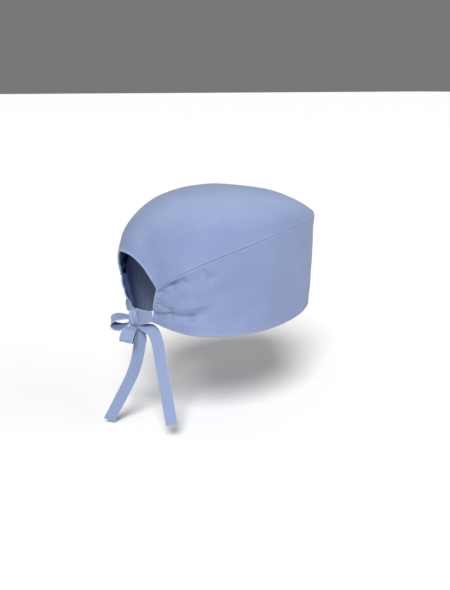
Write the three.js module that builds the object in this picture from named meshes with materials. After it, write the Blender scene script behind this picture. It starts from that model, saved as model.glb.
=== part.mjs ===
// Tie-back surgical cap of plain woven cloth, in the form it has when worn.
//
// Millimetres, +Z up. The wearer looks along -Y, their right hand is at -X, and the origin is the
// middle of the head opening, near the level of its rim, which is lowest over the ears. One deep
// band runs from flap to flap round the brow, a domed crown closes the top, and the two ties are
// knotted in a bow behind the nape.

import * as THREE from 'three';

// Cloth and making
const CLOTH = 1.4; // wall of the hemmed outer cloth
const LINING = 1.0; // wall of the dark inner face of the band
const TIE = 1.2; // a tie is a strip folded and stitched flat
const GAP = 0.3; // running gap between neighbouring pieces
const BELLY = 1; // how far the band swells out at mid height

// Band and crown, one half: a row for each section, from the middle of the brow to the rear edge of
// the flap. Each place is across from the middle, along, and height: the rim and the seam are the
// lower and upper edges of the band, and the crown leaves the seam towards the shoulder. steps is
// how many strips of cloth reach the next row.
const SECTIONS = [
  { name: 'brow', rim: [0, -112.9, 1.6], seam: [0, -118.6, 99.6], shoulder: [0, -92.5, 119.5], steps: 4 },
  { name: 'brow end', rim: [26.6, -103.6, 0.9], seam: [28.6, -108, 99], shoulder: [23.4, -86, 120.5],
    steps: 2 },
  { name: 'fore', rim: [41.2, -90.9, -0.4], seam: [44.3, -94.4, 97.9], shoulder: [36.1, -75.8, 121.8],
    steps: 3 },
  { name: 'temple', rim: [53.7, -73.5, -2.5], seam: [57.8, -75.6, 96.8], shoulder: [48, -60.8, 121.5],
    steps: 3 },
  { name: 'before ear', rim: [64.6, -50.8, -4.5], seam: [69, -51.8, 93.8], shoulder: [59.1, -43.4, 121.5],
    steps: 3 },
  { name: 'ear', rim: [72.7, -24, -6.2], seam: [77.3, -24.5, 89.5], shoulder: [67.8, -21, 119.5],
    steps: 3 },
  { name: 'side', rim: [76.2, 3.7, -6.8], seam: [81.1, 4.5, 83.5], shoulder: [74.3, 4.4, 116], steps: 3 },
  { name: 'behind ear', rim: [74.5, 29.3, -5.6], seam: [79.5, 30.8, 76.4], shoulder: [74.9, 30.7, 112.5],
    steps: 4 },
  { name: 'rear side', rim: [69.5, 52.2, -3.6], seam: [74.4, 55.6, 68.6], shoulder: [71, 54.4, 108.5],
    steps: 5 },
  { name: 'flap root', rim: [60.2, 69.8, -0.9], seam: [67, 72.6, 60.8], shoulder: [63.8, 71.5, 107],
    steps: 6 },
  { name: 'flap', rim: [43.5, 80.7, 2.4], seam: [55.1, 82.9, 52.8], shoulder: [54, 82, 106], steps: 6 },
  { name: 'flap end', rim: [20.6, 85.3, 4.4], seam: [40.4, 89.8, 43.4], shoulder: [41.8, 90.5, 106],
    steps: 0 },
];

// Hemmed rear edge of the crown, one half: the arch over the opening, from the flap to the middle.
const ARCH = [
  { name: 'arch foot', seam: [34.7, 93.8, 53.5], shoulder: [32.2, 95.2, 105.5], steps: 2 },
  { name: 'haunch', seam: [26.5, 97.7, 63.1], shoulder: [22.4, 98.6, 106], steps: 2 },
  { name: 'arch shoulder', seam: [14.2, 101.9, 70.7], shoulder: [12, 100.8, 107], steps: 2 },
  { name: 'arch top', seam: [0, 103.6, 72.7], shoulder: [0, 101.6, 107.4], steps: 2 },
];

// Top of the crown
const CROWN_TOP = new THREE.Vector3(0, 4.4, 132.5);
const CROWN_FLATNESS = 0.52; // share of the reach to the shoulder that stays almost level
const CROWN_ROWS = 8;
const BAND_ROWS = 14;

// Folds pressed into both halves of the band where the ties draw it in: distance forward of the
// flap's rear edge and height above the rim at each end, depth, and half the width of the dent.
const FOLDS = [
  { name: 'under the seam', from: [4, 37], to: [34, 49], depth: 3.2, spread: 5 },
  { name: 'dimple', from: [50, 56], to: [68, 62], depth: 2.2, spread: 5.5 },
  { name: 'above the hem', from: [2, 9], to: [62, 23], depth: 2.6, spread: 4.5 },
  { name: 'pucker', from: [8, 23], to: [24, 30], depth: 1.8, spread: 4 },
];
const EDGE_HOLD = 0.5; // rim and seam hold the folds flat: the lower, the nearer the folds reach them

// The lining stops short of the band's edges, and hangs clear of the folds near the flaps
const LINING_FOOT = 1; // bare band left below it
const LINING_HEAD = 5; // bare band left above it
const LINING_SETBACK = 3; // strips of the band left bare at each flap end
const LINING_ROWS = 3;
const LINING_SLACK = { depth: 4.4, near: 70, far: 100 }; // eases off between these distances

// Ties: a row for each point of the middle line, with the strip's width there. turn and tip are the
// compass bearing (from +X towards +Y) and the rise, in degrees, of the line across the strip.
const STRAP_RIGHT = [
  { at: [-20.4, 86.8, 9.9], turn: 90, tip: 90, width: 11.5 },
  { at: [-14.9, 88.4, 8.6], turn: 90, tip: 90, width: 13.5 },
  { at: [-9, 89.6, 7.2], turn: 90, tip: 90, width: 15.5 },
  { at: [-2.6, 90.4, 6.5], turn: 90, tip: 90, width: 16.5 },
];
const STRAP_LEFT = [
  { at: [20.1, 86.8, 7.9], turn: 90, tip: 90, width: 8 },
  { at: [16.2, 87.9, 7.7], turn: 90, tip: 90, width: 10 },
  { at: [12.3, 89, 7.1], turn: 90, tip: 90, width: 11 },
  { at: [7.7, 90.1, 6.4], turn: 90, tip: 90, width: 11 },
];
const KNOT = { at: [2.6, 92.6, 4.7], height: 18.2, radius: 5, shoulder: 4.2, end: 3.4, bevel: 1.2 };
const LOOP_LEFT = [
  { at: [4.9, 97.4, 4.6], turn: 150, tip: -6, width: 8 },
  { at: [6.6, 100.9, 5.6], turn: 150, tip: -10, width: 11 },
  { at: [8.8, 104.8, 5.8], turn: 150, tip: -16, width: 12.5 },
  { at: [11.4, 109.1, 5.2], turn: 150, tip: -24, width: 12.5 },
  { at: [13.5, 112.3, 2.6], turn: 150, tip: -30, width: 12.5 },
  { at: [14.1, 112.4, -1.3], turn: 150, tip: -32, width: 12.5 },
  { at: [12.7, 109.4, -4.3], turn: 150, tip: -30, width: 12.5 },
  { at: [10.3, 105, -5.1], turn: 150, tip: -24, width: 12.5 },
  { at: [7.9, 101.2, -3.9], turn: 150, tip: -14, width: 11 },
  { at: [5.2, 96.9, -1.3], turn: 150, tip: -6, width: 8 },
];
const LOOP_RIGHT = [
  { at: [-1.7, 95.8, -4.1], turn: -137, tip: -6, width: 8 },
  { at: [-3.9, 101, -6], turn: -137, tip: -6, width: 13 },
  { at: [-4.7, 104.1, -9.5], turn: -137, tip: -6, width: 14.5 },
  { at: [-4.5, 105.5, -13.9], turn: -137, tip: -6, width: 14.5 },
  { at: [-3, 105.1, -17.5], turn: -137, tip: -6, width: 14.5 },
  { at: [-1.4, 102.4, -17.7], turn: -137, tip: -6, width: 14 },
  { at: [-0.7, 99.7, -15], turn: -137, tip: -6, width: 12.5 },
  { at: [-0.3, 97.7, -11], turn: -137, tip: -6, width: 10.5 },
  { at: [1.1, 95.7, -5.3], turn: -137, tip: -6, width: 6 },
];
const TAIL_RIGHT = [
  { at: [-0.9, 90.1, -4.7], turn: -99, tip: 40, width: 4 },
  { at: [-4.5, 88.5, -4.2], turn: -99, tip: 40, width: 6.5 },
  { at: [-10.4, 86.7, -4], turn: -110, tip: 35, width: 10 },
  { at: [-15.4, 84.3, -4.6], turn: -122, tip: 22, width: 12 },
  { at: [-19.4, 82.3, -7.9], turn: -128, tip: 8, width: 12.5 },
  { at: [-22.3, 81, -14.1], turn: -130, tip: 0, width: 12.5 },
  { at: [-24.2, 79.9, -22.6], turn: -130, tip: 0, width: 12.5 },
  { at: [-26.1, 78.9, -34.8], turn: -130, tip: 0, width: 12.5 },
  { at: [-30.8, 76.7, -61.2], turn: -130, tip: 0, width: 12.5 },
  { at: [-34.6, 74.4, -87.2], turn: -130, tip: 0, width: 12.5 },
  { at: [-37, 73.2, -101.6], turn: -130, tip: 0, width: 12.5 },
];
const TAIL_LEFT = [
  { at: [3, 90.4, -5.6], turn: -130, tip: 0, width: 8 },
  { at: [1.4, 87.7, -10.9], turn: -125, tip: 0, width: 11 },
  { at: [1.4, 86.8, -17.7], turn: -120, tip: 0, width: 12.5 },
  { at: [3, 87.3, -25.4], turn: -120, tip: 0, width: 12.5 },
  { at: [10.3, 88.3, -46.6], turn: -120, tip: 0, width: 12.5 },
  { at: [16.5, 90, -60.1], turn: -120, tip: 0, width: 12.5 },
  { at: [23.2, 93.7, -74.8], turn: -120, tip: 0, width: 12.5 },
  { at: [36.6, 101.8, -102.7], turn: -120, tip: 0, width: 12.5 },
  { at: [43.3, 106, -117], turn: -120, tip: 0, width: 12.5 },
];
const TIE_STEPS = 3; // strips between two rows of a tie
const KNOT_SIDES = 16;

// Colours
const BLUE_CLOTH = { color: 0x9aabcf, roughness: 0.85, metalness: 0 };
const SLATE_CLOTH = { color: 0x3c4558, roughness: 0.9, metalness: 0 };

const UP = new THREE.Vector3(0, 0, 1);

// ---- helpers -----------------------------------------------------------------------------------

// The rows of one half, mirrored to run from the right flap round the front to the left one.
function bothHalves(rows) {
  const right = rows.slice(1).reverse().map((row) => ({ ...row, hand: -1 }));
  const left = rows.map((row) => ({ ...row, hand: 1 }));
  return [...right, ...left];
}

// A smooth curve through one of the places that the rows give.
function curveThrough(rows, place, closed) {
  const points = rows.map((row) => {
    const [across, along, height] = row[place];
    return new THREE.Vector3(row.hand * across, along, height);
  });
  return new THREE.CatmullRomCurve3(points, closed);
}

// Fractions along a curve through the rows, with each interval cut into its own number of steps.
function stepFractions(rows, closed) {
  const last = rows.length - 1;
  const intervals = closed ? rows.length : last;
  const fractions = [];
  for (let i = 0; i < intervals; i += 1) {
    const next = rows[(i + 1) % rows.length];
    const steps = rows[i].hand < 0 ? next.steps : rows[i].steps;
    for (let k = 0; k < steps; k += 1) fractions.push((i + k / steps) / intervals);
  }
  if (!closed) fractions.push(1);
  return fractions;
}

// Level direction pointing out of the cap, square to a curve's way round it.
function outwardFrom(tangent) {
  return new THREE.Vector3(tangent.y, -tangent.x, 0).normalize();
}

// A closed solid from a list of triangles, each three points.
function solid(triangles) {
  const geometry = new THREE.BufferGeometry();
  const numbers = triangles.flat().flatMap((point) => point.toArray());
  geometry.setAttribute('position', new THREE.Float32BufferAttribute(numbers, 3));
  geometry.computeVertexNormals();
  return geometry;
}

// Two triangles for four corners in order, leaving out one that has closed to a line.
function quad(a, b, c, d) {
  const pair = [[a, b, c], [a, c, d]];
  return pair.filter(([p, q, r]) => !p.equals(q) && !q.equals(r) && !r.equals(p));
}

// A wall between two grids of points, grid[column][row], seen from outside with its columns running
// to the right and its rows running up.
function wall(outer, inner, closed) {
  const columns = outer.length;
  const top = outer[0].length - 1;
  const triangles = [];
  for (let c = 0; c < (closed ? columns : columns - 1); c += 1) {
    const n = (c + 1) % columns;
    for (let r = 0; r < top; r += 1) {
      triangles.push(...quad(outer[c][r], outer[n][r], outer[n][r + 1], outer[c][r + 1]));
      triangles.push(...quad(inner[n][r], inner[c][r], inner[c][r + 1], inner[n][r + 1]));
    }
    triangles.push(...quad(inner[c][0], inner[n][0], outer[n][0], outer[c][0]));
    triangles.push(...quad(outer[c][top], outer[n][top], inner[n][top], inner[c][top]));
  }
  if (!closed) {
    const end = columns - 1;
    for (let r = 0; r < top; r += 1) {
      triangles.push(...quad(inner[0][r], outer[0][r], outer[0][r + 1], inner[0][r + 1]));
      triangles.push(...quad(outer[end][r], inner[end][r], inner[end][r + 1], outer[end][r + 1]));
    }
  }
  return solid(triangles);
}

function piece(name, geometry, look) {
  const mesh = new THREE.Mesh(geometry, new THREE.MeshStandardMaterial(look));
  mesh.name = name;
  return mesh;
}

// ---- band and lining ---------------------------------------------------------------------------

const bandRows = bothHalves(SECTIONS);
const archLeft = ARCH.map((row) => ({ ...row, hand: 1 }));
const archRight = ARCH.slice(0, -1).reverse().map((row) => ({ ...row, hand: -1 }));
const crownRows = [...bandRows, ...archLeft, ...archRight];

const rimCurve = curveThrough(bandRows, 'rim', false);
const crownEdge = curveThrough(crownRows, 'seam', true);
const crownShoulder = curveThrough(crownRows, 'shoulder', true);

// The columns of the band: where each meets the rim and the seam, and how far it is from a flap end.
function bandColumns() {
  const intervals = bandRows.length - 1;
  const columns = stepFractions(bandRows, false).map((fraction) => {
    const onEdge = (fraction * intervals) / crownRows.length;
    const rim = rimCurve.getPoint(fraction);
    const seam = crownEdge.getPoint(onEdge);
    const rimOut = outwardFrom(rimCurve.getTangent(fraction));
    const seamOut = outwardFrom(crownEdge.getTangent(onEdge));
    return { rim, seam, rimOut, seamOut, run: 0, fromFlap: 0 };
  });
  for (let c = 1; c < columns.length; c += 1) {
    columns[c].run = columns[c - 1].run + columns[c].rim.distanceTo(columns[c - 1].rim);
  }
  const whole = columns.at(-1).run;
  for (const column of columns) column.fromFlap = Math.min(column.run, whole - column.run);
  return columns;
}

// How far the folds press the band in, at a distance from the flap's edge and a height above the rim.
function foldDepth(fromFlap, height) {
  let total = 0;
  for (const fold of FOLDS) {
    const start = new THREE.Vector2(...fold.from);
    const line = new THREE.Vector2(...fold.to).sub(start);
    const offset = new THREE.Vector2(fromFlap, height).sub(start);
    const share = THREE.MathUtils.clamp(offset.dot(line) / line.lengthSq(), 0, 1);
    const away = offset.addScaledVector(line, -share).length();
    total += fold.depth * Math.exp(-((away / fold.spread) ** 2));
  }
  return total;
}

// A point of the unfolded band, at a share of the way up a column and set in from its outer face.
function bandPoint(column, share, inset) {
  const point = column.rim.clone().lerp(column.seam, share);
  const out = column.rimOut.clone().lerp(column.seamOut, share).normalize();
  return point.addScaledVector(out, BELLY * Math.sin(Math.PI * share) - inset);
}

// Equal rows up a column, between a bare foot and a bare head.
function sharesUp(column, rows, foot, head) {
  const tall = column.seam.z - column.rim.z;
  const low = foot / tall;
  const high = 1 - head / tall;
  return Array.from({ length: rows + 1 }, (_, r) => low + ((high - low) * r) / rows);
}

function sideBand(columns) {
  const grid = (inset) => columns.map((column) => {
    return sharesUp(column, BAND_ROWS, 0, 0).map((share) => {
      const height = share * (column.seam.z - column.rim.z);
      const held = Math.sin(Math.PI * share) ** EDGE_HOLD;
      return bandPoint(column, share, inset + held * foldDepth(column.fromFlap, height));
    });
  });
  return wall(grid(0), grid(CLOTH), false);
}

function bandLining(columns) {
  const { depth, near, far } = LINING_SLACK;
  const grid = (inset) => columns.slice(LINING_SETBACK, -LINING_SETBACK).map((column) => {
    const slack = depth * (1 - THREE.MathUtils.smoothstep(column.fromFlap, near, far));
    const shares = sharesUp(column, LINING_ROWS, LINING_FOOT, LINING_HEAD);
    return shares.map((share) => bandPoint(column, share, inset + slack));
  });
  return wall(grid(CLOTH + GAP), grid(CLOTH + GAP + LINING), false);
}

// ---- crown -------------------------------------------------------------------------------------

// A rib climbs from the edge to the shoulder and bends over to the top, which it reaches level.
function crownRib(fraction) {
  const foot = crownEdge.getPoint(fraction).addScaledVector(UP, GAP);
  const out = outwardFrom(crownEdge.getTangent(fraction));
  const shoulder = crownShoulder.getPoint(fraction);
  const level = shoulder.clone().setZ(CROWN_TOP.z).lerp(CROWN_TOP, 1 - CROWN_FLATNESS);
  return { out, curve: new THREE.CubicBezierCurve3(foot, shoulder, level, CROWN_TOP) };
}

function crown() {
  const ribs = stepFractions(crownRows, true).map(crownRib);
  const outer = ribs.map((rib) => {
    const points = rib.curve.getPoints(CROWN_ROWS);
    points[CROWN_ROWS] = CROWN_TOP;
    return points;
  });
  const innerTop = CROWN_TOP.clone().addScaledVector(UP, -CLOTH);
  const inner = ribs.map((rib, c) => outer[c].map((point, r) => {
    if (r === CROWN_ROWS) return innerTop;
    if (r === 0) return point.clone().addScaledVector(rib.out, -CLOTH);
    const before = outer[(c + ribs.length - 1) % ribs.length][r];
    const after = outer[(c + 1) % ribs.length][r];
    const round = after.clone().sub(before);
    const climb = outer[c][r + 1].clone().sub(outer[c][r - 1]);
    return point.clone().addScaledVector(round.cross(climb).normalize(), -CLOTH);
  }));
  return wall(outer, inner, true);
}

// ---- ties --------------------------------------------------------------------------------------

// A flat strip swept along the rows of a tie.
function strip(rows) {
  const path = new THREE.CatmullRomCurve3(rows.map((row) => new THREE.Vector3(...row.at)));
  const last = rows.length - 1;
  const rings = [];
  for (let i = 0; i <= last * TIE_STEPS; i += 1) {
    const place = i / TIE_STEPS;
    const before = Math.min(Math.floor(place), last - 1);
    const between = (name) => {
      return THREE.MathUtils.lerp(rows[before][name], rows[before + 1][name], place - before);
    };
    const turn = THREE.MathUtils.degToRad(between('turn'));
    const tip = THREE.MathUtils.degToRad(between('tip'));
    const level = new THREE.Vector3(Math.cos(turn), Math.sin(turn), 0);
    const across = level.multiplyScalar(Math.cos(tip)).addScaledVector(UP, Math.sin(tip));
    const tangent = path.getTangent(place / last);
    across.addScaledVector(tangent, -across.dot(tangent)).normalize();
    const face = tangent.clone().cross(across);
    const middle = path.getPoint(place / last);
    rings.push([[1, 1], [1, -1], [-1, -1], [-1, 1]].map(([side, front]) => {
      const corner = middle.clone().addScaledVector(across, (side * between('width')) / 2);
      return corner.addScaledVector(face, (front * TIE) / 2);
    }));
  }
  const triangles = [];
  for (let i = 0; i < rings.length - 1; i += 1) {
    for (let k = 0; k < 4; k += 1) {
      const n = (k + 1) % 4;
      triangles.push(...quad(rings[i][k], rings[i + 1][k], rings[i + 1][n], rings[i][n]));
    }
  }
  const end = rings.at(-1);
  triangles.push(...quad(rings[0][0], rings[0][1], rings[0][2], rings[0][3]));
  triangles.push(...quad(end[3], end[2], end[1], end[0]));
  return solid(triangles);
}

// The wrapped middle of the bow: a small barrel that stands upright.
function knot() {
  const half = KNOT.height / 2;
  const profile = [
    new THREE.Vector2(0, -half),
    new THREE.Vector2(KNOT.end, -half),
    new THREE.Vector2(KNOT.shoulder, KNOT.bevel - half),
    new THREE.Vector2(KNOT.radius, 0),
    new THREE.Vector2(KNOT.shoulder, half - KNOT.bevel),
    new THREE.Vector2(KNOT.end, half),
    new THREE.Vector2(0, half),
  ];
  const barrel = new THREE.LatheGeometry(profile, KNOT_SIDES);
  barrel.rotateX(Math.PI / 2);
  return barrel.translate(...KNOT.at);
}

// ---- assembly ----------------------------------------------------------------------------------

const columns = bandColumns();
const cap = new THREE.Group();
cap.name = 'surgical_cap';
cap.add(piece('crown', crown(), BLUE_CLOTH));
cap.add(piece('side_band', sideBand(columns), BLUE_CLOTH));
cap.add(piece('band_lining', bandLining(columns), SLATE_CLOTH));
cap.add(piece('tie_strap_right', strip(STRAP_RIGHT), BLUE_CLOTH));
cap.add(piece('tie_strap_left', strip(STRAP_LEFT), BLUE_CLOTH));
cap.add(piece('knot', knot(), BLUE_CLOTH));
cap.add(piece('bow_loop_left', strip(LOOP_LEFT), BLUE_CLOTH));
cap.add(piece('bow_loop_right', strip(LOOP_RIGHT), BLUE_CLOTH));
cap.add(piece('tie_tail_right', strip(TAIL_RIGHT), BLUE_CLOTH));
cap.add(piece('tie_tail_left', strip(TAIL_LEFT), BLUE_CLOTH));

export default cap;
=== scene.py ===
# A tie-back surgical cap of plain ceil-blue cloth, in the form it has when it is worn.
#
# Metres, +Z up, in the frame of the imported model: the wearer looks along -Y, and their right hand
# is at -X. Every solid of the frame is replaced by the cloth piece that it stands for, laid on the
# solid's own surface and then given its folds, hems, stitches and weave.

import itertools
import math

import bmesh
import bpy
import numpy as np
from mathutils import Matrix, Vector, noise


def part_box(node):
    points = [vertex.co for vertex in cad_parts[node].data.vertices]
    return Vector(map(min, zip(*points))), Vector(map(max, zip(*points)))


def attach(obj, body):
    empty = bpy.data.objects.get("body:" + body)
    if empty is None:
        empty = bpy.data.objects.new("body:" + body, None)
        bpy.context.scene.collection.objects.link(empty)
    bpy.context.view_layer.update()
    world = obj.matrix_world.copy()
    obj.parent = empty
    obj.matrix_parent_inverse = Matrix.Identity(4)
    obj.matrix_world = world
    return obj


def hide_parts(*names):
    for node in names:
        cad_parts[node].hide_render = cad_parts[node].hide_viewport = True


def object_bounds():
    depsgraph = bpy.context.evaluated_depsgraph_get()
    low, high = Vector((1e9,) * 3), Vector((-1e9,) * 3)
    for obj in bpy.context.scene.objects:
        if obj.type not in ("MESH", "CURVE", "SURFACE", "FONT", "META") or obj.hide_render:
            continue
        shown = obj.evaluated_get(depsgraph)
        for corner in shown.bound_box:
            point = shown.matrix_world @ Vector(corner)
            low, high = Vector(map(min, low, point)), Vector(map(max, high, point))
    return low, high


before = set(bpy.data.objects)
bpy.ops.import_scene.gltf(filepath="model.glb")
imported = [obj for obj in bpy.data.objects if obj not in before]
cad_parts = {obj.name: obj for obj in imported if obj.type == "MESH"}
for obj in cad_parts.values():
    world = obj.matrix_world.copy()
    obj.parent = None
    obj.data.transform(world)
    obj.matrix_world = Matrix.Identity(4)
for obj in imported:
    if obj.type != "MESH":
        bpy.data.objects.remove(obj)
cad_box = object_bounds()
MM = 0.001

# ---- Camera --------------------------------------------------------------------------------------
# It stands behind the wearer's right ear, a long arm's reach away and a little above the crown, so
# it looks through the back opening to the inside of the brow.

CAMERA_AZIMUTH = math.radians(238)
CAMERA_RISE = math.radians(14)
CAMERA_REACH = 0.9
CAMERA_LENS = 51.65
CAMERA_FRAME = 36  # mm wide
AIM_FROM_MIDDLE = Vector((-1.6, -11.4, 8.5)) * MM

level_reach = math.cos(CAMERA_RISE)
to_camera = Vector((
    math.sin(CAMERA_AZIMUTH) * level_reach,
    -math.cos(CAMERA_AZIMUTH) * level_reach,
    math.sin(CAMERA_RISE),
))
aim = (cad_box[0] + cad_box[1]) / 2 + AIM_FROM_MIDDLE
bpy.ops.object.camera_add(
    location=aim + to_camera * CAMERA_REACH,
    rotation=to_camera.to_track_quat("Z", "Y").to_euler(),
)
camera = bpy.context.object
camera.data.lens = CAMERA_LENS
camera.data.sensor_width = CAMERA_FRAME
bpy.context.scene.camera = camera

# ---- Studio --------------------------------------------------------------------------------------
# A wide pale floor just under the tips of the ties, a main light over the wearer's right shoulder,
# weaker ones that open up the brow and the nape, and an even glow. The cap is held up as a head
# holds it, so its shadow falls clear behind it.

FLOOR_GAP = 2 * MM
FLOOR_SIZE = 60
FLOOR_COLOUR = (0.97, 0.97, 0.97, 1)
FLOOR_ROUGHNESS = 0.95
LIGHTS = {  # the spread is in degrees: the wider it is, the softer the shadow
    "main_light": {"towards": (-0.646, 0.442, 0.622), "strength": 3.65, "spread": 20},
    "brow_light": {"towards": (-0.78, -0.56, 0.28), "strength": 1.15, "spread": 60},
    "nape_light": {"towards": (-0.25, 0.92, 0.3), "strength": 0.5, "spread": 60},
}
GLOW_COLOUR = (0.97, 0.98, 1, 1)
GLOW_STRENGTH = 0.19

bpy.ops.object.select_all(action="DESELECT")
bpy.ops.mesh.primitive_plane_add(size=FLOOR_SIZE, location=(0, 0, cad_box[0].z - FLOOR_GAP))
floor = bpy.context.object
floor.name = "floor"
floor_finish = bpy.data.materials.new("floor_paper")
floor_finish.use_nodes = True
paper = floor_finish.node_tree.nodes["Principled BSDF"]
paper.inputs["Base Color"].default_value = FLOOR_COLOUR
paper.inputs["Roughness"].default_value = FLOOR_ROUGHNESS
floor.data.materials.append(floor_finish)

for name, light in LIGHTS.items():
    towards = Vector(light["towards"])
    bpy.ops.object.light_add(
        type="SUN", location=towards, rotation=towards.to_track_quat("Z", "Y").to_euler()
    )
    bpy.context.object.name = name
    bpy.context.object.data.energy = light["strength"]
    bpy.context.object.data.angle = math.radians(light["spread"])

bpy.context.scene.world = bpy.data.worlds.new("glow")
bpy.context.scene.world.use_nodes = True
glow = bpy.context.scene.world.node_tree.nodes["Background"]
glow.inputs["Color"].default_value = GLOW_COLOUR
glow.inputs["Strength"].default_value = GLOW_STRENGTH
bpy.context.scene.view_settings.view_transform = "Standard"

# ---- Crown ---------------------------------------------------------------------------------------
# One panel of plain-woven cloth, eased into the band all round and topstitched just above the seam.
# Its rear edge is turned under and stitched down, and makes the arch over the back opening.

CLOTH_WALL = 0.9 * MM
CROWN_HEART = Vector((0, 4, 40)) * MM  # the panel bulges away from here
CROWN_ROUND = 96 * MM  # its mean radius, for laying out the weave
CROWN_COLUMNS = np.arange(0, 96.01, 0.25)  # in steps of the CAD's net, as the rows are
CROWN_ROWS = np.r_[0:0.5:21j, 0.56:7.8:54j, 8]
TUCK = [(1.3, 3.2), (1.3, 1.6), (1.2, 0.2)]  # inward and down, in mm: the edge hidden by the band
EASING = 52  # how many columns the corners of its edge are eased over, on the way up
EASED = np.array([2, 38]) * MM  # above the edge: where the easing starts, and is whole
ARCH_START = 3 * MM  # how far behind the flap ends the seam has become the arch
SEAM_STITCH = 2.4  # mm above the edge
ARCH_STITCH = 4.2
ARCH_HEM = 0.4  # how thick the turned edge is, in mm
ARCH_FOLD = np.array([4.4, 5.2]) * MM  # above the edge: where it thins out again
SEAM_EDGE = [(0.22, 1.5, 0.9), (-0.3, SEAM_STITCH, 0.35), (-0.5, 0, 0.45)]  # see ridges
ARCH_EDGE = [(-0.4, ARCH_STITCH, 0.4), (-0.45, 0, 0.5)]
SEAM_WEAR = [(0.3, 1.2, 1)]
ARCH_WEAR = [(1, 1, 1.6)]
CROWN_WAVES = [(0.9, 52, 3.1), (0.3, 17, 8.4)]  # see waves
CROWN_CALM = np.array([3, 26]) * MM  # above the edge: where the waves start, and are whole
CROWN_FOLDS = [  # see pressed
    {"from": (2, 14), "to": (12, 17), "depth": 0.8, "spread": 3, "fade": 0},
    {"from": (12, 17), "to": (30, 12), "depth": 0.8, "spread": 4, "fade": 0.6},
    {"from": (34, 5), "to": (52, 12), "depth": 0.6, "spread": 3, "fade": 0.5},
    {"from": (60, 6), "to": (76, 11), "depth": 0.5, "spread": 3.5, "fade": 0.5},
]
YARN = 0.42 * MM
SLUB_STRETCHES = ((900, 45, 1), (45, 900, 1))  # thick places in the yarns that run either way
SLUB_DETAIL = {"Scale": 1.0, "Detail": 2.0}
SLUB_SUM = 1.35  # more than the two kinds of slub add up to at one place
SLUB_TONE = 0.22  # how far the thin places between them are shaded
PATCHES = {"Scale": 16.0, "Detail": 3.0, "Roughness": 0.55, "Distortion": 0.4}
PATCHINESS = 1.1  # how unevenly the light has faded the cloth
PATCH_BLEND = 0.2  # how softly the patches end at the strong colour and at the faded one
RUB = 0.16  # how much paler a rubbed edge is
SOFTNESS = {"Scale": 95.0, "Detail": 3.0}
RELIEF = {"Strength": 0.5, "Distance": 0.6 * MM}
WEAVE_RELIEF = 0.12  # as a share of that, as the next two are
SLUB_RELIEF = 0.16
SOFT_RELIEF = 1.1
CLOTH_SHINE = 0.25
CLOTH_ROUGHNESS = 0.8
SLUB_ROUGHNESS = 0.08
SHEEN_SPREAD = 0.5
OUTSIDE_SHEEN = 0.12
INSIDE_SHEEN = 0.05
CEIL_BLUE = (0.169, 0.213, 0.358, 1)
# paler blue: random patches everywhere, and painted light on the upturned top of the crown
PALE_AND_LIT_BLUE = (0.238, 0.301, 0.455, 1)
LIT_SLOPE = (0.4, 1.05)  # how far upturned the cloth is where painted light starts, and is whole
# the inner faces of the crown and the band, painted dark navy: painted shade inside the cap
SHADE_NAVY = (0.06, 0.11, 0.3, 1)
RUBBED_PALE = (0.62, 0.69, 0.86, 1)
YARN_SHADOW = (0.72, 0.75, 0.82, 1)
WELD = 0.01 * MM  # corners of a CAD solid that are closer than this are one
POLE_WELD = 0.002 * MM  # and so are points of a finished piece
FACING_OUT = 0.2  # how far outwards the outer faces of a CAD sheet are turned at least
FIRST_TURN = 0.03  # less than the turn between two columns, so the middle of the back comes first
NO_LENGTH = 1e-12


def round_the_cap(vertex):
    """How far round from the middle of the back a point lies, by way of the wearer's right."""
    turn = math.atan2(-vertex.co.x, vertex.co.y - CROWN_HEART.y)
    return (turn + FIRST_TURN) % math.tau


def cad_net(node, heart, upright):
    """The outer face of a CAD sheet as net[row][column], from its lower edge up. Outward is away
    from the heart of the cap, and level if the sheet stands upright."""
    sheet = bmesh.new()
    sheet.from_mesh(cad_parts[node].data)
    bmesh.ops.remove_doubles(sheet, verts=sheet.verts, dist=WELD)
    hidden = []
    for face in sheet.faces:
        out = face.calc_center_median() - heart
        out.z *= not upright
        if face.normal.dot(out.normalized()) < FACING_OUT:
            hidden.append(face)
    bmesh.ops.delete(sheet, geom=hidden, context="FACES")
    edge = [vertex for vertex in sheet.verts if vertex.is_boundary]
    row = {min(edge, key=lambda vertex: vertex.co.z)}
    fresh = list(row)
    while fresh:
        here = fresh.pop()
        if len(here.link_edges) < 4:  # a corner, where the lower edge ends
            continue
        ahead = {side.other_vert(here) for side in here.link_edges if side.is_boundary} - row
        row |= ahead
        fresh += ahead
    rows = []
    seen = set()
    while row:
        rows.append([vertex.co.copy() for vertex in sorted(row, key=round_the_cap)])
        seen |= row
        row = {side.other_vert(vertex) for vertex in row for side in vertex.link_edges} - seen
    widest = len(rows[0])
    sheet.free()
    return np.array([row * (widest // len(row)) for row in rows])


def smooth_through(points, places, before, after):
    """A smooth curve through points, numbered from 0, at places between those numbers."""
    run = np.concatenate([before, points, after])
    first = np.floor(places).astype(int)
    share = (places - first)[:, None, None]
    a, b, c, d = (run[first + k] for k in range(4))
    bend = 2 * a - 5 * b + 4 * c - d + share * (3 * (b - c) + d - a)
    return b + share / 2 * (c - a + share * bend)


def beyond(points):
    """One more point before the first and two after the last, in line with their neighbours."""
    last = 2 * points[-1:] - points[-2:-1]
    return 2 * points[:1] - points[1:2], np.concatenate([last, last])


def face_out(grid, closed):
    """The unit normals of grid[column][row], on the side that faces out of the cap."""
    if closed:
        along = np.roll(grid, -1, axis=0) - np.roll(grid, 1, axis=0)
    else:
        along = np.gradient(grid, axis=0)
    normal = np.cross(along, np.gradient(grid, axis=1))
    return normal / np.maximum(np.linalg.norm(normal, axis=2, keepdims=True), NO_LENGTH)


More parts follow.
